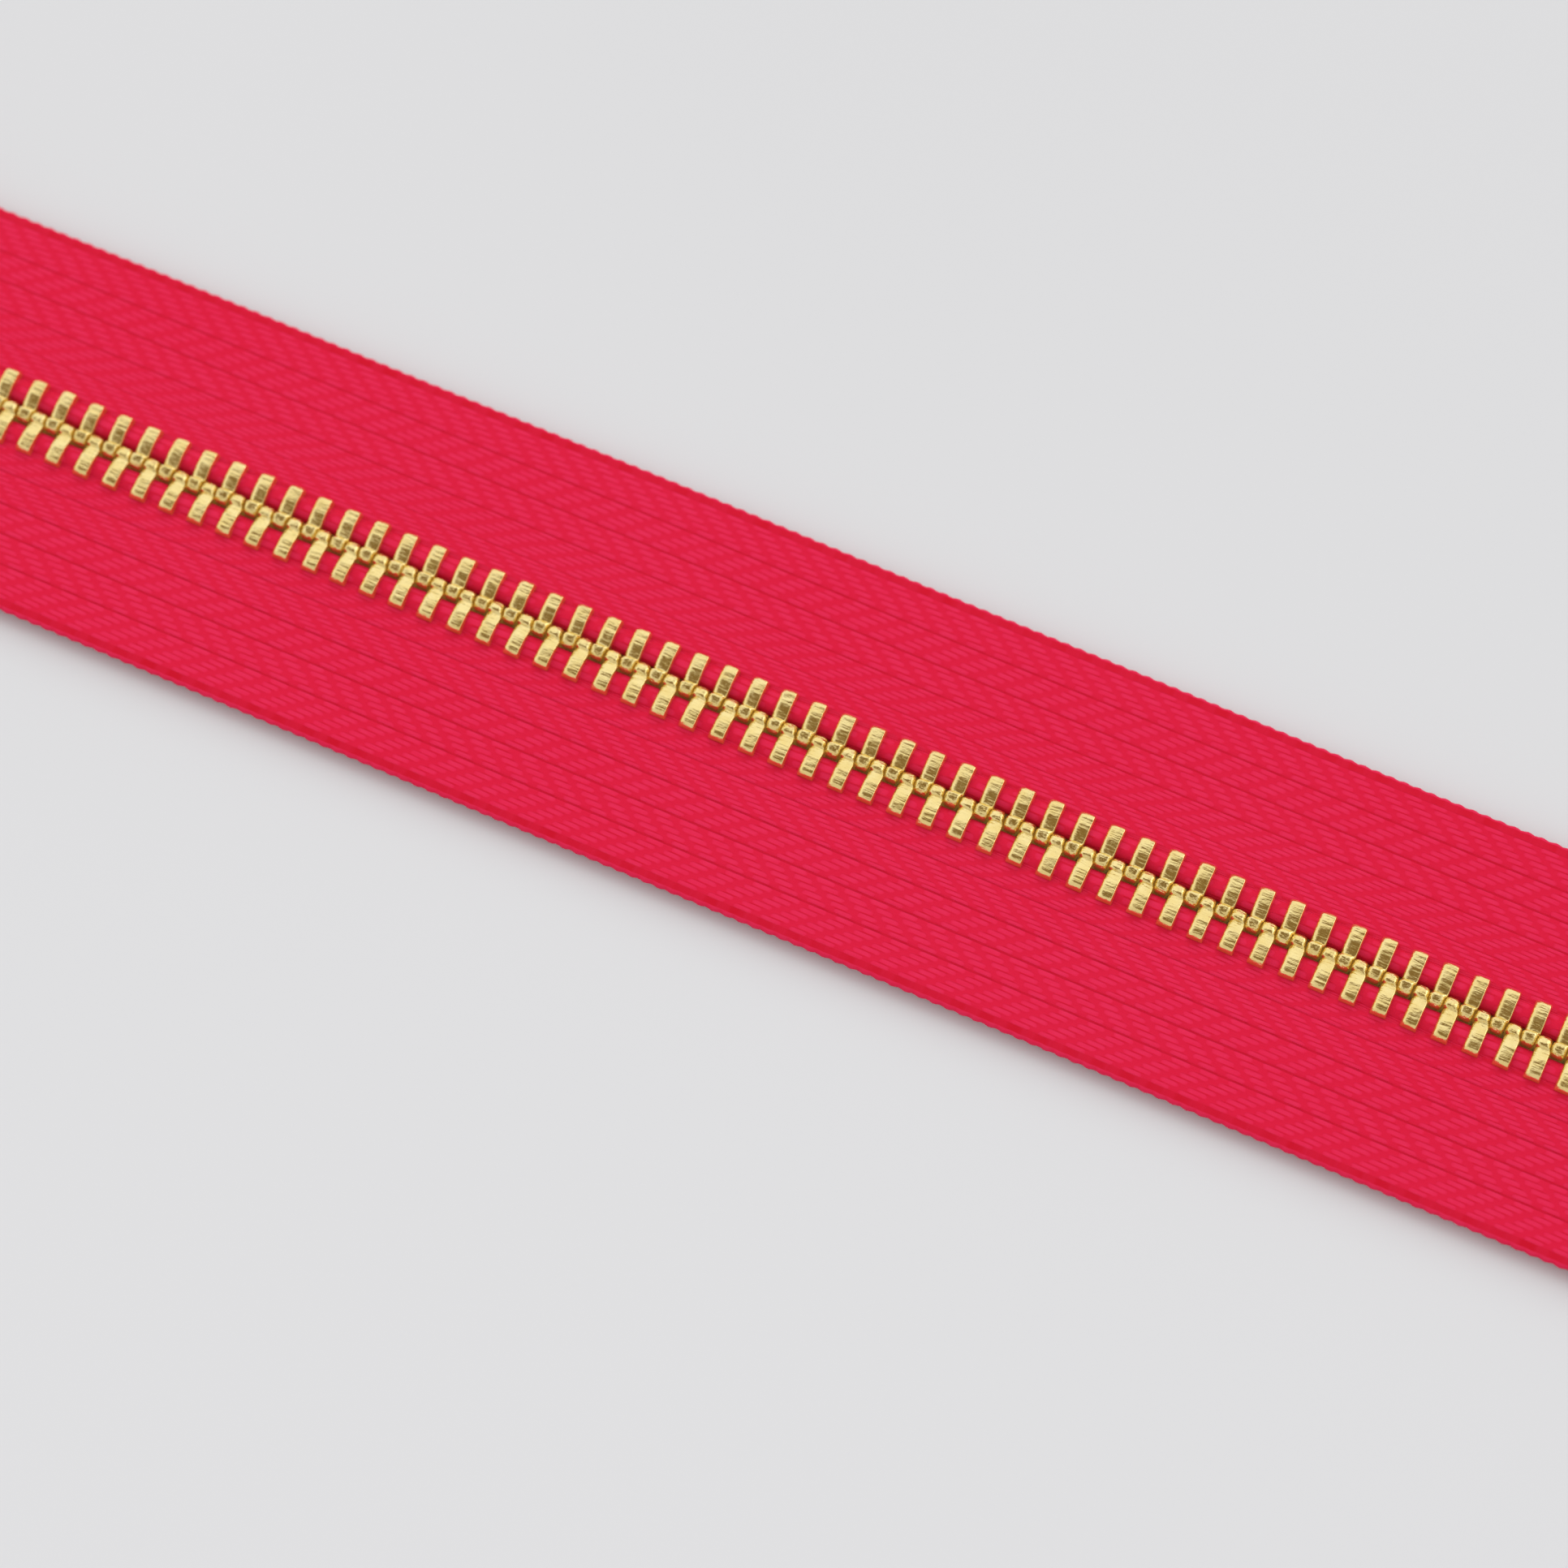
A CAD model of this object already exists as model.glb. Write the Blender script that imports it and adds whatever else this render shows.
import math

import bpy
import bmesh
import numpy as np
from mathutils import Matrix, Vector


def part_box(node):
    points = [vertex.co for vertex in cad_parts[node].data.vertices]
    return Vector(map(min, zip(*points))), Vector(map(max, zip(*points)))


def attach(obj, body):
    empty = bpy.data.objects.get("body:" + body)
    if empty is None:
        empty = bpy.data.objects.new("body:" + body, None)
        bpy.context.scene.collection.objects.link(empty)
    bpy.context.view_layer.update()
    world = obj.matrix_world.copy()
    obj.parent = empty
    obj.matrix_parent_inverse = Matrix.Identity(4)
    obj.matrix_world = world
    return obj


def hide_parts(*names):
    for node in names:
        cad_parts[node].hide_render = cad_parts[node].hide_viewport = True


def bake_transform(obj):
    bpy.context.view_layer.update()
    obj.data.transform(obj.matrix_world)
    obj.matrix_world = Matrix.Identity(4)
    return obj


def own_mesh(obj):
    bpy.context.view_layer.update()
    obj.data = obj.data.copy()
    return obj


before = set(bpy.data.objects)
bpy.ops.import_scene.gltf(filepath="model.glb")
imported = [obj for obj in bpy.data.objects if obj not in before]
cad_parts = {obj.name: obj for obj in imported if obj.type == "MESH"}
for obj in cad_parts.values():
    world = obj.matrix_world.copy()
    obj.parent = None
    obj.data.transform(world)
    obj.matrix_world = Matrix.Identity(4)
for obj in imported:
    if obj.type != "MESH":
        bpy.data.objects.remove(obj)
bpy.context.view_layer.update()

MM = 0.001

# ------------------------------------------------------------------ the zipper's sizes, in mm, as in the CAD
TAPE_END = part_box("left_tape")[1].x / MM
HALF_WIDTH = 15.9
TAPE_HZ, RISE_HZ = 0.30, 0.35
PITCH = 2.54
CORD_Y, CORD_R = 1.75, 0.74
Z_LOW = 1.32
FOOT_X = round(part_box("left_tape")[0].x / MM, 2)
FIRST_TOOTH_X = -104.745
STOP_X0, STOP_X1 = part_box("bottom_stop")[0].x / MM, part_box("bottom_stop")[1].x / MM
TIP_Y, LEG_Y = -2.33, 1.23
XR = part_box("slider_body")[0].x / MM
PATH_X = XR + 1.5
ARC1_R, A1 = 14.0, math.radians(20.0)
RUN = 1.6
ARC2_R, A2 = 12.0, math.radians(5.0)
SL = 12.0
ZM = 2.27
Z_TAIL = 0.98
HEIGHTS = [(-130.0, Z_TAIL), (-112.1, ZM), (-99.0, ZM), (-78.0, Z_LOW),
           (75.0, Z_LOW), (XR - 2.0, ZM), (XR + SL + 5.0, ZM), (130.0, Z_TAIL)]
LEN1, LEN2 = ARC1_R * A1, ARC2_R * (A1 - A2)
X_SPREAD, SPREAD = XR - 16.0, 3.2


def path_at(s):
    """(x, y, heading) of the left cord's centre, s mm past PATH_X."""
    if s <= 0:
        return PATH_X + s, CORD_Y, 0.0
    if s <= LEN1:
        a = s / ARC1_R
        return PATH_X + ARC1_R * math.sin(a), CORD_Y + ARC1_R * (1 - math.cos(a)), a
    x, y, _ = path_at(LEN1)
    s -= LEN1
    if s <= RUN:
        return x + s * math.cos(A1), y + s * math.sin(A1), A1
    x, y = x + RUN * math.cos(A1), y + RUN * math.sin(A1)
    s -= RUN
    if s <= LEN2:
        a = A1 - s / ARC2_R
        return (x + ARC2_R * (math.sin(A1) - math.sin(a)), y + ARC2_R * (math.cos(a) - math.cos(A1)), a)
    s -= LEN2
    x += ARC2_R * (math.sin(A1) - math.sin(A2))
    y += ARC2_R * (math.cos(A2) - math.cos(A1))
    return x + s * math.cos(A2), y + s * math.sin(A2), A2


_S = np.linspace(0, 45, 4501)
_P = np.array([path_at(s) for s in _S])


def path_y(x):
    return np.where(x <= PATH_X, CORD_Y, np.interp(x, _P[:, 0], _P[:, 1]))


def path_heading(x):
    return np.where(x <= PATH_X, 0.0, np.interp(x, _P[:, 0], _P[:, 2]))


def height(x):
    x = np.asarray(x, float)
    z, slope = np.zeros_like(x), np.zeros_like(x)
    for (x0, z0), (x1, z1) in zip(HEIGHTS, HEIGHTS[1:]):
        m = (x >= x0) & (x <= x1)
        t = (x - x0) / (x1 - x0)
        z = np.where(m, z0 + (z1 - z0) * t * t * (3 - 2 * t), z)
        slope = np.where(m, (z1 - z0) * 6 * t * (1 - t) / (x1 - x0), slope)
    z = np.where(x > HEIGHTS[-1][0], HEIGHTS[-1][1], np.where(x < HEIGHTS[0][0], HEIGHTS[0][1], z))
    return z, slope


def spread(x):
    t = np.clip((x - X_SPREAD) / (130.0 - X_SPREAD), 0.0, 1.0)
    return SPREAD * t * t * (3 - 2 * t)


def smooth01(t):
    t = np.clip(t, 0, 1)
    return t * t * (3 - 2 * t)


# ------------------------------------------------------------------ node helpers
class Tree:
    def __init__(self, mat):
        mat.use_nodes = True
        self.nt = mat.node_tree
        self.nt.nodes.clear()
        self.out = self.nt.nodes.new("ShaderNodeOutputMaterial")
        self.bsdf = self.nt.nodes.new("ShaderNodeBsdfPrincipled")
        self.nt.links.new(self.bsdf.outputs[0], self.out.inputs[0])

    def put(self, socket, v):
        if hasattr(v, "links"):
            self.nt.links.new(v, socket)
        elif isinstance(v, (tuple, list)) and len(v) == 3 and socket.type == "RGBA":
            socket.default_value = (*v, 1)
        else:
            socket.default_value = v

    def math(self, op, a, b=None, c=None, clamp=False):
        n = self.nt.nodes.new("ShaderNodeMath")
        n.operation = op
        n.use_clamp = clamp
        for i, v in enumerate((a, b, c)):
            if v is not None:
                self.put(n.inputs[i], v)
        return n.outputs[0]

    def sep(self, v):
        n = self.nt.nodes.new("ShaderNodeSeparateXYZ")
        self.put(n.inputs[0], v)
        return n.outputs

    def comb(self, x, y, z=0.0):
        n = self.nt.nodes.new("ShaderNodeCombineXYZ")
        for i, v in enumerate((x, y, z)):
            self.put(n.inputs[i], v)
        return n.outputs[0]

    def uv(self, name):
        n = self.nt.nodes.new("ShaderNodeUVMap")
        n.uv_map = name
        return n.outputs[0]

    def coord(self, which="Object"):
        n = self.nt.nodes.new("ShaderNodeTexCoord")
        return n.outputs[which]

    def vmul(self, v, s):
        n = self.nt.nodes.new("ShaderNodeVectorMath")
        n.operation = "MULTIPLY"
        self.put(n.inputs[0], v)
        n.inputs[1].default_value = s
        return n.outputs[0]

    def noise(self, v, scale, detail=2.0, rough=0.5, dist=0.0):
        n = self.nt.nodes.new("ShaderNodeTexNoise")
        self.put(n.inputs["Vector"], v)
        n.inputs["Scale"].default_value = scale
        n.inputs["Detail"].default_value = detail
        n.inputs["Roughness"].default_value = rough
        n.inputs["Distortion"].default_value = dist
        return n.outputs[0]

    def range(self, v, a, b, c=0.0, d=1.0, smooth=False):
        n = self.nt.nodes.new("ShaderNodeMapRange")
        if smooth:
            n.interpolation_type = "SMOOTHSTEP"
        self.put(n.inputs[0], v)
        for i, x in enumerate((a, b, c, d)):
            n.inputs[i + 1].default_value = x
        return n.outputs[0]

    def mix(self, f, a, b, blend="MIX"):
        n = self.nt.nodes.new("ShaderNodeMix")
        n.data_type = "RGBA"
        n.blend_type = blend
        self.put(n.inputs[0], f)
        self.put(n.inputs[6], a)
        self.put(n.inputs[7], b)
        return n.outputs[2]

    def bump(self, h, strength, distance, normal=None):
        n = self.nt.nodes.new("ShaderNodeBump")
        n.inputs["Strength"].default_value = strength
        n.inputs["Distance"].default_value = distance
        self.put(n.inputs["Height"], h)
        if normal is not None:
            self.put(n.inputs["Normal"], normal)
        return n.outputs[0]

    def set(self, **kw):
        for k, v in kw.items():
            self.put(self.bsdf.inputs[k.replace("_", " ")], v)


# ------------------------------------------------------------------ materials
RED = (0.810, 0.0128, 0.0650)
RED_DARK = (0.705, 0.0035, 0.0270)
RED_DEEP = (0.600, 0.0022, 0.0150)
RED_LIGHT = (0.850, 0.0290, 0.1060)
FLOAT_A, FLOAT_B, STEP = 0.58, 0.34, 0.26


def tape_material(name, grooves=(), bead=False):
    """Dyed woven tape: soft floats stepping along each yarn, thin shadows between the yarns."""
    mat = bpy.data.materials.new(name)
    t = Tree(mat)
    u0, w, _ = t.sep(t.uv("weave"))
    p, s, _ = t.sep(t.uv("phase"))
    # no two floats are quite alike
    wob = t.noise(t.comb(t.math("MULTIPLY", u0, 0.8), t.math("MULTIPLY", w, 0.55), 0.6), 1.0, 2.0, 0.5)
    u = t.math("ADD", u0, t.math("MULTIPLY", t.math("SUBTRACT", wob, 0.5), 0.30))
    fw = t.math("SUBTRACT", t.math("FRACT", w), 0.5)
    hs = []
    for k in (-1, 0, 1):
        d = t.math("SUBTRACT", fw, float(k))
        ph = t.math("SUBTRACT", p, t.math("MULTIPLY", t.math("MULTIPLY", s, STEP), d))
        tt = t.math("SUBTRACT", t.math("FRACT", t.math("ADD", u, ph)), 0.5)
        a = t.math("POWER", t.math("ABSOLUTE", t.math("DIVIDE", d, FLOAT_A)), 2.4)
        b = t.math("POWER", t.math("ABSOLUTE", t.math("DIVIDE", tt, FLOAT_B)), 2.6)
        h = t.math("MAXIMUM", t.math("SUBTRACT", t.math("SUBTRACT", 1.0, a), b), 0.0)
        hs.append(h)
    h = t.math("SQRT", t.math("MAXIMUM", t.math("MAXIMUM", hs[0], hs[1]), hs[2]))
    selv = t.range(w, 31.0, 31.15)
    loop = t.math("ADD", t.math("MULTIPLY", t.math("COSINE", t.math("MULTIPLY", t.math("ADD", u0, 0.1), 4 * math.pi)), 0.5), 0.5)
    h = t.math("ADD", t.math("MULTIPLY", h, t.math("SUBTRACT", 1.0, selv)), t.math("MULTIPLY", t.math("MULTIPLY_ADD", t.math("SQRT", loop), 0.5, 0.5), selv))
    # the thin dark line between neighbouring yarns, broken where a float ends
    edge = t.math("ABSOLUTE", fw)
    tt0 = t.math("ABSOLUTE", t.math("SUBTRACT", t.math("FRACT", t.math("ADD", u, p)), 0.5))
    dash = t.math("MULTIPLY", t.range(edge, 0.30, 0.49, smooth=True), t.range(tt0, 0.16, 0.44, 1.0, 0.12, smooth=True))
    dash = t.math("MULTIPLY", dash, t.math("SUBTRACT", 1.0, selv))
    groove = None
    for g in grooves:
        x = t.range(t.math("ABSOLUTE", t.math("SUBTRACT", w, g[0])), g[1] * 0.35, g[1], g[2], 0.0, smooth=True)
        groove = x if groove is None else t.math("MAXIMUM", groove, x)
    fibre = t.noise(t.comb(t.math("MULTIPLY", u0, 3.4), t.math("MULTIPLY", w, 8.0), 0.3), 1.0, 3.0, 0.6)
    lump = t.noise(t.comb(t.math("MULTIPLY", u0, 1.5), t.math("MULTIPLY", w, 0.9), 4.1), 1.0, 2.0, 0.6)
    soft = t.noise(t.comb(t.math("MULTIPLY", u0, 0.9), t.math("MULTIPLY", w, 0.8), 1.7), 1.0, 2.0, 0.6)
    wide = t.noise(t.coord(), 45.0, 2.0, 0.5)
    gap = t.range(h, 0.0, 0.62, 0.46, 0.0, smooth=True)
    puff = t.math("MULTIPLY", t.range(h, 0.45, 1.0, smooth=True), t.range(lump, 0.32, 0.66, 0.15, 0.90))
    col = t.mix(t.math("MULTIPLY", puff, 0.62), RED, RED_LIGHT)
    col = t.mix(t.math("MULTIPLY", t.range(fibre, 0.50, 0.80), 0.40), col, RED_LIGHT)
    col = t.mix(t.range(wide, 0.35, 0.65, 0.0, 0.14), col, RED_LIGHT)
    dark = t.math("MAXIMUM", gap, t.math("MULTIPLY", dash, t.range(soft, 0.35, 0.62, 0.55, 1.0)))
    col = t.mix(dark, col, RED_DARK)
    height_ = t.math("SUBTRACT", t.math("ADD", t.math("MULTIPLY", h, 0.62), t.math("MULTIPLY", lump, 0.35)),
                     t.math("MULTIPLY", dash, 0.45))
    if bead:
        inner = t.range(t.math("ABSOLUTE", t.math("SUBTRACT", w, 5.0)), 0.6, 2.3, 0.55, 0.0, smooth=True)
        col = t.mix(inner, col, (0.42, 0.0030, 0.0140))
    if groove is not None:
        col = t.mix(groove, col, RED_DEEP)
        height_ = t.math("SUBTRACT", height_, groove)
    n1 = t.bump(height_, 0.9, 0.052 * MM)
    n2 = t.bump(fibre, 0.45, 0.014 * MM, n1)
    t.set(Base_Color=col, Roughness=t.range(fibre, 0.3, 0.8, 0.60, 0.48), Normal=n2)
    t.set(Specular_IOR_Level=0.11, Sheen_Weight=0.035, Sheen_Roughness=0.4)
    t.bsdf.inputs["Sheen Tint"].default_value = (1.0, 0.35, 0.60, 1)
    return mat


def brass_material(name, base=(0.83, 0.665, 0.315), rough=(0.16, 0.34), scratch=0.25, fine=900.0):
    mat = bpy.data.materials.new(name)
    t = Tree(mat)
    co = t.coord()
    big = t.noise(co, 160.0, 3.0, 0.6)
    grain = t.noise(co, fine, 4.0, 0.6)
    streak = t.noise(t.vmul(co, (1.0, 0.18, 1.0)), fine * 2.2, 3.0, 0.6)
    col = t.mix(t.range(big, 0.35, 0.7, 0.0, 0.5), base, tuple(c * k for c, k in zip(base, (0.94, 0.84, 0.62))))
    r = t.math("ADD", t.range(grain, 0.3, 0.75, rough[0], rough[1]), t.range(streak, 0.5, 0.8, 0.0, 0.10))
    n1 = t.bump(grain, 0.35, 0.020 * MM)
    n2 = t.bump(streak, scratch, 0.010 * MM, n1)
    t.set(Base_Color=col, Metallic=1.0, Roughness=r, Normal=n2)
    return mat


def tooth_material(name):
    """Bright brass with streaks stamped across each tooth; no two teeth quite alike."""
    mat = bpy.data.materials.new(name)
    t = Tree(mat)
    x, y, _ = t.sep(t.uv("across"))
    z, num, _ = t.sep(t.uv("number"))
    co = t.comb(t.math("MULTIPLY", x, 0.5), t.math("MULTIPLY", y, 2.7), t.math("ADD", num, t.math("MULTIPLY", z, 0.5)))
    wave = t.noise(co, 1.0, 2.0, 0.55)
    co2 = t.comb(t.math("MULTIPLY", x, 2.6), t.math("MULTIPLY", y, 3.0), t.math("ADD", num, t.math("MULTIPLY", z, 2.4)))
    dent = t.noise(co2, 1.0, 2.0, 0.5)
    co3 = t.comb(t.math("MULTIPLY", x, 5.0), t.math("MULTIPLY", y, 26.0), t.math("ADD", num, t.math("MULTIPLY", z, 3.0)))
    fine = t.noise(co3, 1.0, 3.0, 0.6)
    tint = t.noise(t.comb(x, y, num), 0.9, 2.0, 0.5)
    col = t.mix(t.range(tint, 0.35, 0.7), (0.90, 0.755, 0.365), (0.85, 0.675, 0.275))
    n1 = t.bump(wave, 0.9, 0.115 * MM)
    knob = t.range(y, -1.1, -1.5, 1.0, 2.6, smooth=True)
    n2 = t.bump(t.math("MULTIPLY", dent, knob), 0.8, 0.045 * MM, n1)
    n3 = t.bump(fine, 0.6, 0.009 * MM, n2)
    t.set(Base_Color=col, Metallic=1.0, Roughness=t.range(fine, 0.3, 0.75, 0.13, 0.25), Normal=n3)
    # the light that lingers in the narrow seams between the heads
    t.bsdf.inputs["Emission Color"].default_value = (0.90, 0.53, 0.12, 1)
    t.bsdf.inputs["Emission Strength"].default_value = 0.055
    return mat


def steel_material(name):
    mat = bpy.data.materials.new(name)
    t = Tree(mat)
    co = t.coord()
    streak = t.noise(t.vmul(co, (0.15, 1.0, 1.0)), 2600.0, 3.0, 0.6)
    big = t.noise(co, 300.0, 2.0, 0.5)
    col = t.mix(t.range(big, 0.3, 0.7), (0.52, 0.52, 0.50), (0.42, 0.42, 0.41))
    t.set(Base_Color=col, Metallic=1.0, Roughness=t.range(streak, 0.3, 0.7, 0.25, 0.42), Normal=t.bump(streak, 0.3, 0.008 * MM))
    return mat


M_TAPE = tape_material("woven_tape", ((1.55, 0.38, 0.40), (8.0, 0.22, 0.28), (15.0, 0.26, 0.50), (20.0, 0.26, 0.50), (25.0, 0.26, 0.50), (31.0, 0.30, 0.38)))
M_BEAD = tape_material("woven_bead", bead=True)
M_TEETH = tooth_material("tooth_brass")
M_STOP = brass_material("stop_brass", rough=(0.20, 0.38), fine=700.0)
M_SLIDER = brass_material("slider_brass", base=(0.80, 0.63, 0.29), rough=(0.20, 0.33), scratch=0.45, fine=500.0)
M_STEEL = steel_material("lock_steel")


# ------------------------------------------------------------------ the tapes
REPEAT = 2.33                                  # the weave's repeat along the tape
# yarns between these distances from the middle, and which way the twill steps
BANDS = [(2.45, 3.12, 2, 1), (3.12, 5.10, 6, 1), (5.10, 7.65, 7, -1), (7.65, 10.00, 5, 1), (10.00, 12.40, 5, -1),
         (12.40, 15.12, 6, 1)]
GROOVE = 0.075


def weave_columns(per_yarn):
    """Columns of the weave: distance from the middle, yarn coordinate, phase, sign; and where the grooves are."""
    cols, j, ph = [], 0, 0.0
    rng = np.random.default_rng(11)
    for b, (y0, y1, n, sgn) in enumerate(BANDS):
        g0 = GROOVE if b >= 2 else 0.0
        for k in range(n):
            a0 = y0 + g0 + (y1 - y0 - g0) * k / n
            a1 = y0 + g0 + (y1 - y0 - g0) * (k + 1) / n
            if k == 0:
                a0 = y0
            cols.append((a0, a1, j, ph, sgn))
            ph += STEP * sgn + rng.uniform(-0.02, 0.02)
            j += 1
        ph += 0.13
    return cols


YARNS = weave_columns(3)


def float_height(U, fw, P, S):
    """Height of the yarn floats, 0 to 1, at repeat coordinate U and fw across a yarn (-0.5 to 0.5)."""
    best = np.zeros_like(U)
    for k in (-1, 0, 1):
        d = fw - k
        tt = (U + P - S * STEP * d) % 1.0 - 0.5
        h = 1 - np.abs(d / FLOAT_A) ** 2.4 - np.abs(tt / FLOAT_B) ** 3.2
        best = np.maximum(best, np.maximum(h, 0))
    return np.sqrt(best)


def tape_mesh(name, side, seed):
    rng = np.random.default_rng(seed)
    x0, x1 = -130.0, 130.0
    nu = int(round((x1 - x0) / REPEAT * 8)) + 1
    X = np.linspace(x0, x1, nu)
    # a slow wander in the weave and the selvedge, as on real woven tape
    wander = sum(rng.uniform(0.02, 0.06) * np.sin(X / rng.uniform(9, 40) + rng.uniform(0, 6)) for _ in range(5))
    edge_w = sum(rng.uniform(0.01, 0.035) * np.sin(X / rng.uniform(6, 30) + rng.uniform(0, 6)) for _ in range(5))
    U = X / REPEAT + wander + seed * 0.37
    cy, hd = path_y(X), path_heading(X)
    zc, _ = height(X)
    sp = spread(X)
    inner = cy + 0.56 / np.cos(hd)
    edge = HALF_WIDTH + sp + edge_w

    def place(v):
        """|y| of a column that is v mm from the middle on the straight part."""
        f = np.clip((v - 2.45) / (HALF_WIDTH - 2.45), 0, 1)
        straight = v + 0 * X
        move_in, move_out = inner - (CORD_Y + 0.56), sp + edge_w
        return straight + move_in * (1 - smooth01(f)) + move_out * smooth01(f)

    rings = []          # per column: (y, z, U, w, P, S, normal sign)
    faces_sign = []

    def column(v, w, P, S, up, relief, hz, push=0.0):
        z = zc + up * (hz + relief)
        return (place(v) + push, z, U, np.full(nu, w), P, np.full(nu, float(S)))

    def hz_at(v):
        return TAPE_HZ + (RISE_HZ - TAPE_HZ) * (1 - smooth01((v - 4.7) / 0.8)) - 0.024

    cols = []           # list of (y,z,U,w,P,S) and the uv of the faces to its right
    H = 0.024
    per = 3
    for up in (1, -1):
        part = []
        for (a0, a1, j, ph, sgn) in YARNS:
            n = per if up > 0 else 2
            first = j in (15, 20, 25)          # the yarn just past a groove
            for i in range(n):
                f = i / n
                fw = f - 0.5
                v = a0 + (a1 - a0) * f
                rel = H * float_height(U, fw + 0 * U, ph + sgn * STEP * fw + 0 * U, sgn + 0 * U)
                if i == 0 and j in (8, 15, 20, 25):
                    rel = rel * 0.3 - 0.060
                part.append((v, j + f, ph, sgn, j, rel, hz_at(v)))
        part.append((15.12, 31.0, 0.0, 1, 30, 0 * U - 0.045, hz_at(15.1)))
        cols.append(part)
    # selvedge: loops of the weft round the last cord
    loops = 0.5 + 0.5 * np.cos(2 * np.pi * (U * 2.0 + 0.2))
    loops = loops ** 0.8
    top, bottom = cols
    ring = []
    for (v, w, ph, sgn, j, rel, hz) in top:
        ring.append((place(v), zc + hz + rel, w, ph, sgn, j))
    steps = 7
    for i in range(1, steps):
        a = math.pi * (0.5 - i / steps)
        r = 0.345 + 0.045 * loops
        bulge = 0.42 + 0.13 * loops
        v = 15.42
        ring.append((place(v) + bulge * math.cos(a), zc + (r - 0.02) * math.sin(a), 31.0 + i * 1.5 / steps, 0.0, 1, 31))
    for (v, w, ph, sgn, j, rel, hz) in reversed(bottom):
        ring.append((place(v), zc - hz - rel, w, ph, sgn, j))
    nr = len(ring)
    co = np.zeros((nr, nu, 3))
    for i, (y, z, w, ph, sgn, j) in enumerate(ring):
        co[i, :, 0], co[i, :, 1], co[i, :, 2] = X, side * y, z
    verts = co.reshape(-1, 3)
    i, k = np.meshgrid(np.arange(nr), np.arange(nu - 1), indexing="ij")
    i2 = (i + 1) % nr
    quads = np.stack([i * nu + k, i * nu + k + 1, i2 * nu + k + 1, i2 * nu + k], -1).reshape(-1, 4)
    uvw = np.zeros((nr, nu - 1, 4, 2))
    uvp = np.zeros((nr, nu - 1, 4, 2))
    nt_ = len(top)
    for q in range(nr):
        q2 = (q + 1) % nr
        wa, wb = ring[q][2], ring[q2][2]
        if q == nr - 1:
            wb = wa
        jj = ring[q][5] if q < nt_ else ring[q2][5]
        yarn = YARNS[min(jj, len(YARNS) - 1)]
        ph, sgn = yarn[3], yarn[4]
        if jj >= 31:
            ph, sgn = 0.0, 0.0
        for c, (wv, kk) in enumerate(((wa, 0), (wa, 1), (wb, 1), (wb, 0))):
            uvw[q, :, c, 0] = U[kk:nu - 1 + kk]
            # keep the corner just inside its own yarn so that the fraction is right
            wv = min(max(wv, jj + 0.002), jj + 0.998) if jj < 31 else wv
            uvw[q, :, c, 1] = wv
            uvp[q, :, c, 0] = ph + sgn * STEP * (wv - jj - 0.5)
            uvp[q, :, c, 1] = sgn
    caps = [list(range(0, nr * nu, nu)), [n * nu + nu - 1 for n in reversed(range(nr))]]
    if side > 0:
        quads = quads[:, ::-1]
        uvw, uvp = uvw[:, :, ::-1], uvp[:, :, ::-1]
        caps = [c[::-1] for c in caps]
    return build(name, verts, quads, caps, {"weave": uvw.reshape(-1, 2), "phase": uvp.reshape(-1, 2)})


def build(name, verts, quads, ngons, uvs):
    """A mesh object from arrays; uvs are per corner of the quads."""
    me = bpy.data.meshes.new(name)
    nq, ng = len(quads), len(ngons)
    loops = np.concatenate([quads.ravel()] + [np.array(g) for g in ngons]).astype(np.int32)
    starts = list(range(0, nq * 4, 4))
    sizes = [4] * nq
    at = nq * 4
    for g in ngons:
        starts.append(at)
        sizes.append(len(g))
        at += len(g)
    me.vertices.add(len(verts))
    me.vertices.foreach_set("co", (np.asarray(verts, float) * MM).astype(np.float32).ravel())
    me.loops.add(len(loops))
    me.loops.foreach_set("vertex_index", loops)
    me.polygons.add(nq + ng)
    me.polygons.foreach_set("loop_start", np.array(starts, np.int32))
    me.update(calc_edges=True)
    me.validate()
    for key, uv in (uvs or {}).items():
        layer = me.uv_layers.new(name=key)
        full = np.zeros((len(loops), 2), np.float32)
        full[:len(uv)] = uv
        layer.data.foreach_set("uv", full.ravel())
    me.shade_smooth()
    o = bpy.data.objects.new(name, me)
    bpy.context.scene.collection.objects.link(o)
    return o


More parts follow.
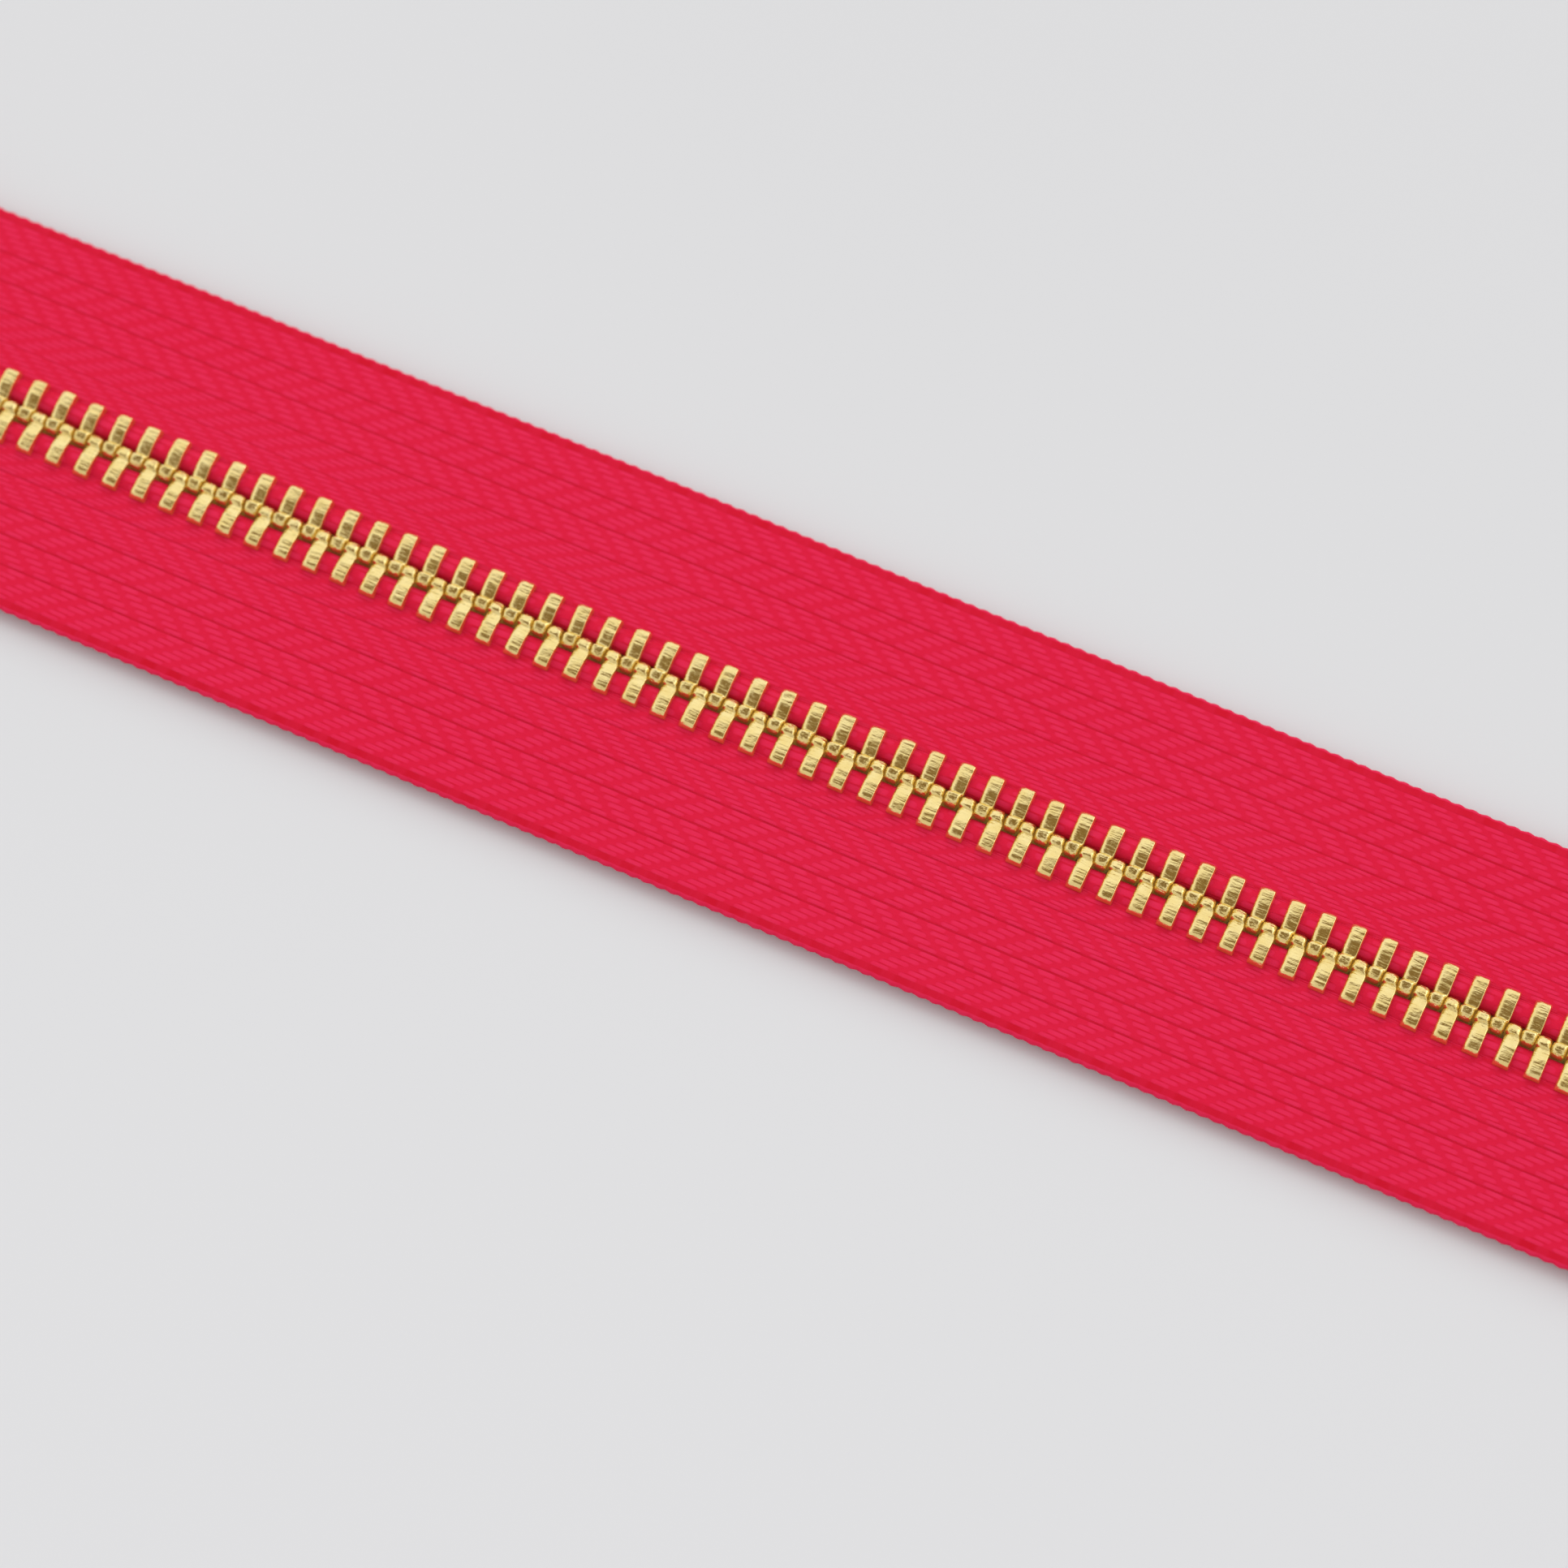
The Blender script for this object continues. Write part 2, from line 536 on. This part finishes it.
def bead_mesh(name, side, seed):
    """The bead along the tape's inner edge: the cord under its woven cover."""
    rng = np.random.default_rng(seed)
    nu, na = 900, 20
    X = np.linspace(-129.8, 129.8, nu)
    U = X / REPEAT + seed * 0.21
    cy, hd = path_y(X), path_heading(X)
    zc, _ = height(X)
    verts = np.zeros((na, nu, 3))
    uvw = np.zeros((na, nu - 1, 4, 2))
    uvp = np.zeros((na, nu - 1, 4, 2))
    yarns = 10
    for i in range(na):
        a = 2 * math.pi * i / na
        w = i / na * yarns
        r = CORD_R - 0.01 + 0.012 * np.cos(2 * np.pi * (U * 2 + w * 0.25)) * (0.6 + 0.4 * math.cos(a * 3))
        fade = smooth01((X[-1] + 0.15 - X) / 0.7) * smooth01((X - X[0] + 0.15) / 0.7)
        r = r * (0.72 + 0.28 * fade)
        verts[i, :, 0] = X
        wide = 0.28 if math.cos(a) < 0 else 0.33
        verts[i, :, 1] = side * (cy + (r + wide) * math.cos(a) / np.cos(hd))
        verts[i, :, 2] = zc + r * 1.02 * math.sin(a)
    i, k = np.meshgrid(np.arange(na), np.arange(nu - 1), indexing="ij")
    i2 = (i + 1) % na
    quads = np.stack([i * nu + k, i * nu + k + 1, i2 * nu + k + 1, i2 * nu + k], -1).reshape(-1, 4)
    for q in range(na):
        for c, (f, kk) in enumerate(((0, 0), (0, 1), (1, 1), (1, 0))):
            wv = (q + f) / na * yarns
            jj = int(q / na * yarns)
            wv = min(max(wv, jj + 0.002), jj + 0.998)
            uvw[q, :, c, 0] = U[kk:nu - 1 + kk]
            uvw[q, :, c, 1] = wv
            uvp[q, :, c, 0] = STEP * (wv - 0.5)
            uvp[q, :, c, 1] = 1.0
    caps = [list(range(0, na * nu, nu)), [n * nu + nu - 1 for n in reversed(range(na))]]
    if side < 0:
        quads = quads[:, ::-1]
        uvw, uvp = uvw[:, :, ::-1], uvp[:, :, ::-1]
        caps = [c[::-1] for c in caps]
    return build(name, verts.reshape(-1, 3), quads, caps, {"weave": uvw.reshape(-1, 2), "phase": uvp.reshape(-1, 2)})


def outward(o):
    bm = bmesh.new()
    bm.from_mesh(o.data)
    bmesh.ops.recalc_face_normals(bm, faces=bm.faces)
    bm.to_mesh(o.data)
    bm.free()


def finish_piece(o, mat):
    o.data.materials.clear()
    o.data.materials.append(mat)
    return o


for side, nm in ((1, "left"), (-1, "right")):
    tape = finish_piece(tape_mesh(nm + "_tape_weave", side, 3 if side > 0 else 8), M_TAPE)
    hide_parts(nm + "_tape", nm + "_tape_foot")
    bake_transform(tape)
    bead = finish_piece(bead_mesh(nm + "_tape_bead", side, 5 if side > 0 else 6), M_BEAD)
    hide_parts(nm + "_cord", nm + "_cord_foot")
    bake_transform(bead)


# ------------------------------------------------------------------ the teeth
def tooth_ring(y, right_x, left_x, b, n, roll, flare, count=36):
    """Points round the tooth at y, from left_x to right_x at half height b: squareness n, and on the left the edge
    rolled over by a further roll, on the right a slight flare."""
    pts = []
    xc, a = (right_x + left_x) / 2, (right_x - left_x) / 2
    for k in range(count):
        t = 2 * math.pi * (k + 0.5) / count
        c, s = math.cos(t), math.sin(t)
        x = math.copysign(abs(c) ** (2 / n), c) * a
        z = math.copysign(abs(s) ** (2 / n), s) * b
        if c > 0:
            x += flare * (1 - min(1.0, abs(z) / 1.27) ** 2.2) * min(1.0, abs(x) / a)
        elif roll:
            g = min(1.0, abs(x) / a) ** 3
            x -= roll * g * math.sqrt(max(0.0, 1 - (1 - min(1.0, (b - abs(z)) / 0.55)) ** 2))
            z *= 1 - 0.02 * g
        pts.append((x + xc, y, z))
    return pts


def tooth_shape():
    """One tooth: a round knob at the tip, then two legs with a stamped top, cut out for the tape's bead."""
    F, L = 0.10, 0.40
    prof = [  # y, right, left, half height, squareness, roll, flare
        (-2.335, 0.12, -0.44, 0.24, 2.4, 0, 0), (-2.32, 0.26, -0.58, 0.44, 2.8, 0, 0),
        (-2.27, 0.37, -0.69, 0.64, 2.9, 0, 0), (-2.18, 0.44, -0.765, 0.80, 3.1, 0, 0),
        (-2.06, 0.475, -0.80, 0.915, 3.3, 0, 0), (-1.92, 0.48, -0.815, 1.00, 3.5, 0, 0),
        (-1.76, 0.48, -0.82, 1.065, 3.6, 0, 0), (-1.60, 0.48, -0.82, 1.10, 3.7, 0, 0),
        (-1.47, 0.478, -0.81, 1.095, 3.8, 0, 0), (-1.37, 0.474, -0.76, 1.03, 4.4, 0.04, 0),
        (-1.30, 0.470, -0.62, 0.945, 4.4, 0.14, 0.01), (-1.25, 0.470, -0.50, 0.910, 5.0, 0.24, 0.02),
        (-1.19, 0.470, -0.44, 0.915, 8.0, 0.32, 0.03), (-1.05, 0.470, -0.41, 0.960, 11.0, 0.38, 0.04),
        (-0.90, 0.470, -0.41, 1.015, 13.0, 0.40, 0.05), (-0.68, 0.470, -0.41, 1.10, 13.0, 0.40, 0.07),
        (-0.46, 0.470, -0.41, 1.185, 13.0, L, F), (-0.29, 0.470, -0.41, 1.252, 13.0, L, F),
        (-0.16, 0.470, -0.41, 1.282, 13.0, L, F), (-0.02, 0.470, -0.41, 1.268, 13.0, L, F),
        (0.12, 0.470, -0.41, 1.286, 13.0, L, F), (0.26, 0.470, -0.41, 1.264, 13.0, L, F),
        (0.40, 0.470, -0.41, 1.290, 13.0, L, F), (0.52, 0.470, -0.41, 1.262, 13.0, L, F),
        (0.66, 0.470, -0.41, 1.286, 13.0, L, F), (0.78, 0.470, -0.41, 1.266, 13.0, L, F),
        (0.88, 0.470, -0.41, 1.250, 12.0, L, F), (0.97, 0.468, -0.41, 1.200, 11.0, L, F),
        (1.08, 0.462, -0.405, 1.115, 9.0, L, F), (1.17, 0.452, -0.40, 1.01, 8.0, L, F),
        (1.22, 0.432, -0.38, 0.91, 6.0, 0.36, F), (1.235, 0.39, -0.35, 0.84, 5.0, 0.30, F)]
    rows = []
    for y, rx, lx, b, n, roll, flare in prof:
        if y < -1.30:
            k = smooth01((-1.30 - y) / 0.17)
            rx, lx = rx - 0.10 * k, lx - 0.07 * k
            y = -1.30 + (y + 1.30) * 1.09
        elif y > 0.5:
            y += 0.10 * float(smooth01((y - 0.5) / 0.4))
        rows.append((y, rx, lx, b, n, roll, flare))
    bm = bmesh.new()
    rings = [[bm.verts.new(Vector(p) * MM) for p in tooth_ring(*row)] for row in rows]
    n = len(rings[0])
    for a, b in zip(rings, rings[1:]):
        for k in range(n):
            bm.faces.new((a[k], a[(k + 1) % n], b[(k + 1) % n], b[k]))
    bm.faces.new(rings[0][::-1])
    bm.faces.new(rings[-1])
    bmesh.ops.recalc_face_normals(bm, faces=bm.faces)
    me = bpy.data.meshes.new("tooth")
    bm.to_mesh(me)
    bm.free()
    o = bpy.data.objects.new("tooth", me)
    bpy.context.scene.collection.objects.link(o)

    def cutter(make):
        c = bmesh.new()
        make(c)
        bmesh.ops.recalc_face_normals(c, faces=c.faces)
        m = bpy.data.meshes.new("cut")
        c.to_mesh(m)
        c.free()
        co = bpy.data.objects.new("cut", m)
        bpy.context.scene.collection.objects.link(co)
        return co

    def hollow(c):
        pts = []
        r, sl = 0.80, 0.345
        a0 = math.asin(sl / r)
        for k in range(15):
            a = a0 + (2 * math.pi - 2 * a0) * k / 14
            pts.append((r * math.cos(a), r * math.sin(a)))
        pts += [(2.0, -sl), (2.0, sl)]
        lo = [c.verts.new(Vector((-1, y, z)) * MM) for y, z in pts]
        hi = [c.verts.new(Vector((1, y, z)) * MM) for y, z in pts]
        for k in range(len(pts)):
            c.faces.new((lo[k], lo[(k + 1) % len(pts)], hi[(k + 1) % len(pts)], hi[k]))
        c.faces.new(lo[::-1])
        c.faces.new(hi)

    def pocket(c):
        rr = [(0.16, 0.0), (0.18, 0.24), (0.40, 0.40), (0.47, 0.45), (0.70, 0.50)]
        revolve_x(c, rr, -CORD_Y, 14)

    def nib(c):
        rr = [(-0.93, 0.0), (-0.92, 0.10), (-0.89, 0.18), (-0.83, 0.28), (-0.76, 0.38), (-0.60, 0.42), (-0.40, 0.42), (-0.40, 0.0)]
        revolve_x(c, rr, -CORD_Y, 14)

    for make, op in ((pocket, "DIFFERENCE"), (nib, "UNION"), (hollow, "DIFFERENCE")):
        c = cutter(make)
        b = o.modifiers.new("b", "BOOLEAN")
        b.operation, b.object, b.solver = op, c, "EXACT"
        me2 = bpy.data.meshes.new_from_object(o.evaluated_get(bpy.context.evaluated_depsgraph_get()))
        o.modifiers.clear()
        o.data = me2
        bpy.data.objects.remove(c)
    me = o.data.copy()
    bpy.data.objects.remove(o)
    return me


def revolve_x(c, rr, yc, n):
    rings = []
    for x, r in rr:
        if r == 0:
            rings.append([c.verts.new(Vector((x, yc, 0)) * MM)])
        else:
            rings.append([c.verts.new(Vector((x, yc + r * math.cos(2 * math.pi * k / n), r * math.sin(2 * math.pi * k / n))) * MM)
                          for k in range(n)])
    for a, b in zip(rings, rings[1:]):
        for k in range(n):
            if len(a) == 1:
                c.faces.new((a[0], b[(k + 1) % n], b[k]))
            elif len(b) == 1:
                c.faces.new((a[k], a[(k + 1) % n], b[0]))
            else:
                c.faces.new((a[k], a[(k + 1) % n], b[(k + 1) % n], b[k]))
    for ring in (rings[0], rings[-1]):
        if len(ring) > 1:
            c.faces.new(ring)


TOOTH = tooth_shape()


def tooth_matrix(s, side, rng, jitter=1.0):
    x, y, a = path_at(s)
    z, slope = height(x)
    m = Matrix.Translation(Vector((x, side * y, float(z))) * MM)
    m = m @ Matrix.Rotation(side * a, 4, "Z") @ Matrix.Rotation(-math.atan(float(slope)), 4, "Y")
    if side < 0:
        m = m @ Matrix.Rotation(math.pi, 4, "X")
    j = [rng.uniform(-1, 1) * jitter for _ in range(5)]
    m = m @ Matrix.Translation(Vector((0.012 * j[0], 0.018 * j[1], 0)) * MM)
    m = m @ Matrix.Rotation(math.radians(1.1 * j[2]), 4, "Z") @ Matrix.Rotation(math.radians(0.9 * j[3]), 4, "Y")
    m = m @ Matrix.Rotation(math.radians(0.7 * j[4]), 4, "X")
    return m


def tooth_row(name, places, side, seed):
    rng = np.random.default_rng(seed)
    nv = len(TOOTH.vertices)
    base = np.zeros(nv * 3)
    TOOTH.vertices.foreach_get("co", base)
    base = base.reshape(-1, 3)
    # inside the slider the legs keep to the CAD width, to clear its flanges
    slim = base.copy()
    slim[:, 1] -= 0.10 * MM * smooth01((base[:, 1] / MM - 0.5) / 0.5)
    allv, allf = [], []
    polys = [list(p.vertices) for p in TOOTH.polygons]
    for n, s in enumerate(places):
        m = np.array(tooth_matrix(s, side, rng))
        inside = XR - 0.6 < path_at(s)[0] < XR + 12.6
        allv.append((slim if inside else base) @ m[:3, :3].T + m[:3, 3])
        allf += [[v + n * nv for v in p] for p in polys]
    me = bpy.data.meshes.new(name)
    me.from_pydata(np.concatenate(allv).tolist(), [], allf)
    me.update()
    loc = np.tile(base / MM, (len(places), 1))
    num = np.repeat(np.arange(len(places)), nv)
    vi = np.zeros(len(me.loops), np.int32)
    me.loops.foreach_get("vertex_index", vi)
    for key, ab in (("across", (loc[:, 0], loc[:, 1])), ("number", (loc[:, 2], num * 7.31 + seed))):
        layer = me.uv_layers.new(name=key)
        layer.data.foreach_set("uv", np.stack([ab[0][vi], ab[1][vi]], 1).astype(np.float32).ravel())
    for p in me.polygons:
        p.use_smooth = True
    me.set_sharp_from_angle(angle=math.radians(34))
    o = bpy.data.objects.new(name, me)
    bpy.context.scene.collection.objects.link(o)
    return o


for side, nm, off in ((1, "left", 0.0), (-1, "right", -PITCH / 2)):
    foot, row = [], []
    s = FIRST_TOOTH_X + off - PATH_X
    while s < SL - 1.5 - 0.3:
        (foot if PATH_X + s < FOOT_X else row).append(s)
        s += PITCH
    for part, places, body in (("_teeth_foot", foot, "base"), ("_teeth", row, nm + "_half")):
        o = finish_piece(tooth_row(nm + part + "_finished", places, side, 20 + side + len(places)), M_TEETH)
        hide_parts(nm + part)
        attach(o, body)


# ------------------------------------------------------------------ metal pieces kept from the CAD, with eased edges
def eased(node, body, mat, width, angle=28.0, segments=3, shape=None):
    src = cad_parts[node]
    me = src.data.copy()
    if shape:
        for v in me.vertices:
            v.co = Vector(shape(v.co.x / MM, v.co.y / MM, v.co.z / MM)) * MM
    me.name = node + "_eased"
    o = bpy.data.objects.new(node + "_finished", me)
    bpy.context.scene.collection.objects.link(o)
    bm = bmesh.new()
    bm.from_mesh(me)
    bmesh.ops.remove_doubles(bm, verts=bm.verts, dist=1e-6)
    bmesh.ops.dissolve_limit(bm, angle_limit=math.radians(3.0), verts=bm.verts, edges=bm.edges)
    bmesh.ops.recalc_face_normals(bm, faces=bm.faces)
    bm.to_mesh(me)
    bm.free()
    b = o.modifiers.new("ease", "BEVEL")
    b.width, b.segments, b.limit_method, b.angle_limit = width * MM, segments, "ANGLE", math.radians(angle)
    b.use_clamp_overlap = True
    b.harden_normals = False
    me2 = bpy.data.meshes.new_from_object(o.evaluated_get(bpy.context.evaluated_depsgraph_get()))
    o.modifiers.clear()
    o.data = me2
    for p in me2.polygons:
        p.use_smooth = True
    me2.set_sharp_from_angle(angle=math.radians(35))
    finish_piece(o, mat)
    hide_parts(node)
    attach(o, body)
    return o


eased("slider_body", "slider", M_SLIDER, 0.16)
eased("slider_crown", "slider", M_SLIDER, 0.10)
eased("pull_tab", "pull", M_SLIDER, 0.12)
eased("bottom_stop", "base", M_STOP, 0.08)
eased("left_top_stop", "left_half", M_STOP, 0.08)
eased("right_top_stop", "right_half", M_STOP, 0.08)
pin_lo, pin_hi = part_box("lock_pawl")[0] / MM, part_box("lock_pawl")[1] / MM


def pin(x, y, z):
    """The pin's foot is drawn in a little, because the shown teeth are slightly fuller than the CAD ones."""
    if z > pin_lo.z + 0.9:
        return x, y, z
    return pin_lo.x + 0.275 + (x - pin_lo.x - 0.275) * 0.62, y * 0.93, z + 0.16


eased("lock_pawl", "lock", M_STEEL, 0.04, shape=pin)
# the leaf spring lies between the crown and the pawl, and is pressed flat as the pawl lifts
leaf = eased("lock_spring", "slider", M_STEEL, 0.02)
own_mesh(leaf)


# ------------------------------------------------------------------ floor, light, camera
def floor():
    me = bpy.data.meshes.new("floor")
    s = 6.0
    me.from_pydata([(-s, -s, 0), (s, -s, 0), (s, s, 0), (-s, s, 0)], [], [(0, 1, 2, 3)])
    o = bpy.data.objects.new("floor", me)
    bpy.context.scene.collection.objects.link(o)
    o.location.z = -0.00002
    mat = bpy.data.materials.new("pale_surface")
    t = Tree(mat)
    n = t.noise(t.coord(), 7.0, 2.0, 0.5)
    x, y, _ = t.sep(t.coord())
    near = t.range(t.math("SUBTRACT", t.math("MULTIPLY", x, math.sin(math.radians(24))), t.math("MULTIPLY", y, math.cos(math.radians(24)))),
                   -0.10, 0.12, smooth=True)
    tone = t.mix(near, (0.735, 0.735, 0.742), (0.815, 0.815, 0.825))
    t.set(Base_Color=t.mix(t.range(n, 0.3, 0.7, 0.0, 0.10), tone, (0.84, 0.84, 0.85)), Roughness=0.25, Specular_IOR_Level=0.35)
    me.materials.append(mat)


floor()


def area(name, loc, target, size, power, color=(1, 1, 1), size_y=None):
    d = bpy.data.lights.new(name, "AREA")
    d.energy, d.color, d.size = power, color, size
    if size_y:
        d.shape, d.size_y = "RECTANGLE", size_y
    o = bpy.data.objects.new(name, d)
    bpy.context.scene.collection.objects.link(o)
    o.location = loc
    o.rotation_mode = "QUATERNION"
    o.rotation_quaternion = (Vector(target) - Vector(loc)).to_track_quat("-Z", "Y")
    return o


psi = math.radians(24.03)
right = Vector((math.cos(psi), math.sin(psi), 0))
ahead = Vector((-math.sin(psi), math.cos(psi), 0))
up3 = Vector((0, 0, 1))

# one big soft light beyond the zipper gives the shadows; the room itself gives the rest
for name, loc, size, power in (("window", ahead * 1.1 + right * 0.1 + up3 * 1.15, 1.7, 9.0),
                               ("side", right * -1.0 + ahead * 0.3 + up3 * 1.0, 0.9, 2.0)):
    o = area(name, loc, (0, 0, 0), size, power)
    o.visible_glossy = False

world = bpy.data.worlds.new("room")
bpy.context.scene.world = world
world.use_nodes = True


class Room(Tree):
    def __init__(self, w):
        self.nt = w.node_tree
        self.nt.nodes.clear()


t = Room(world)
out = t.nt.nodes.new("ShaderNodeOutputWorld")
bgn = t.nt.nodes.new("ShaderNodeBackground")
t.nt.links.new(bgn.outputs[0], out.inputs[0])
ray = t.nt.nodes.new("ShaderNodeLightPath")
direction = t.coord("Generated")


def facing(v):
    n = t.nt.nodes.new("ShaderNodeVectorMath")
    n.operation = "DOT_PRODUCT"
    t.put(n.inputs[0], direction)
    n.inputs[1].default_value = v
    return n.outputs["Value"]


def toward(az, el):
    """The direction az degrees right of straight ahead and el degrees up."""
    a, e = math.radians(az), math.radians(el)
    return ahead * math.cos(a) * math.cos(e) + right * math.sin(a) * math.cos(e) + up3 * math.sin(e)


lit = t.range(facing(toward(0, 36)), 0.60, 0.99, smooth=True)
dx, dy, dz = t.sep(direction)
band = t.math("MULTIPLY", t.range(dz, -0.10, 0.06, smooth=True), t.range(dz, 0.62, 0.90, 1.0, 0.0, smooth=True))
around = t.range(facing(toward(0, 0)), -0.85, 0.15, 0.60, 0.90, smooth=True)
amount = t.math("MAXIMUM", lit, t.math("MULTIPLY", band, around))
glint = t.range(facing(toward(68, 6)), 0.86, 0.98, 0.0, 1.1, smooth=True)
mirror = t.mix(amount, (0.185, 0.118, 0.045), (1.06, 1.05, 1.01))
plain = t.mix(0.0, (0.70, 0.70, 0.705), (0, 0, 0))
mirror = t.mix(glint, mirror, (1.0, 0.99, 0.96), "ADD")
t.put(bgn.inputs[0], t.mix(ray.outputs["Is Glossy Ray"], plain, mirror))
bgn.inputs[1].default_value = 1.0

sc = bpy.context.scene
phi = math.radians(69.13)
DIST, FPX = 0.41577, 6540.0
view_dir = ahead * math.cos(phi) - up3 * math.sin(phi)
cam_up = ahead * math.sin(phi) + up3 * math.cos(phi)
target = Vector((-0.705 * MM, -4.17 * MM, 1.62 * MM))
cam_d = bpy.data.cameras.new("camera")
cam = bpy.data.objects.new("camera", cam_d)
sc.collection.objects.link(cam)
cam_d.sensor_width = 36.0
cam_d.lens = FPX / 1932.0 * 36.0
cam.location = target - view_dir * DIST
m = Matrix((right, cam_up, -view_dir)).transposed().to_4x4()
m.translation = cam.location
cam.matrix_world = m
cam_d.clip_start, cam_d.clip_end = 0.01, 50.0
focus = bpy.data.objects.new("focus", None)
sc.collection.objects.link(focus)
focus.location = Vector((38.0, 0.0, 2.3)) * MM
cam_d.dof.use_dof = True
cam_d.dof.focus_object = focus
cam_d.dof.aperture_fstop = 18.0
sc.camera = cam

sc.view_settings.view_transform = "Standard"
sc.view_settings.look = "None"
sc.view_settings.exposure = 0.0
sc.cycles.use_denoising = True
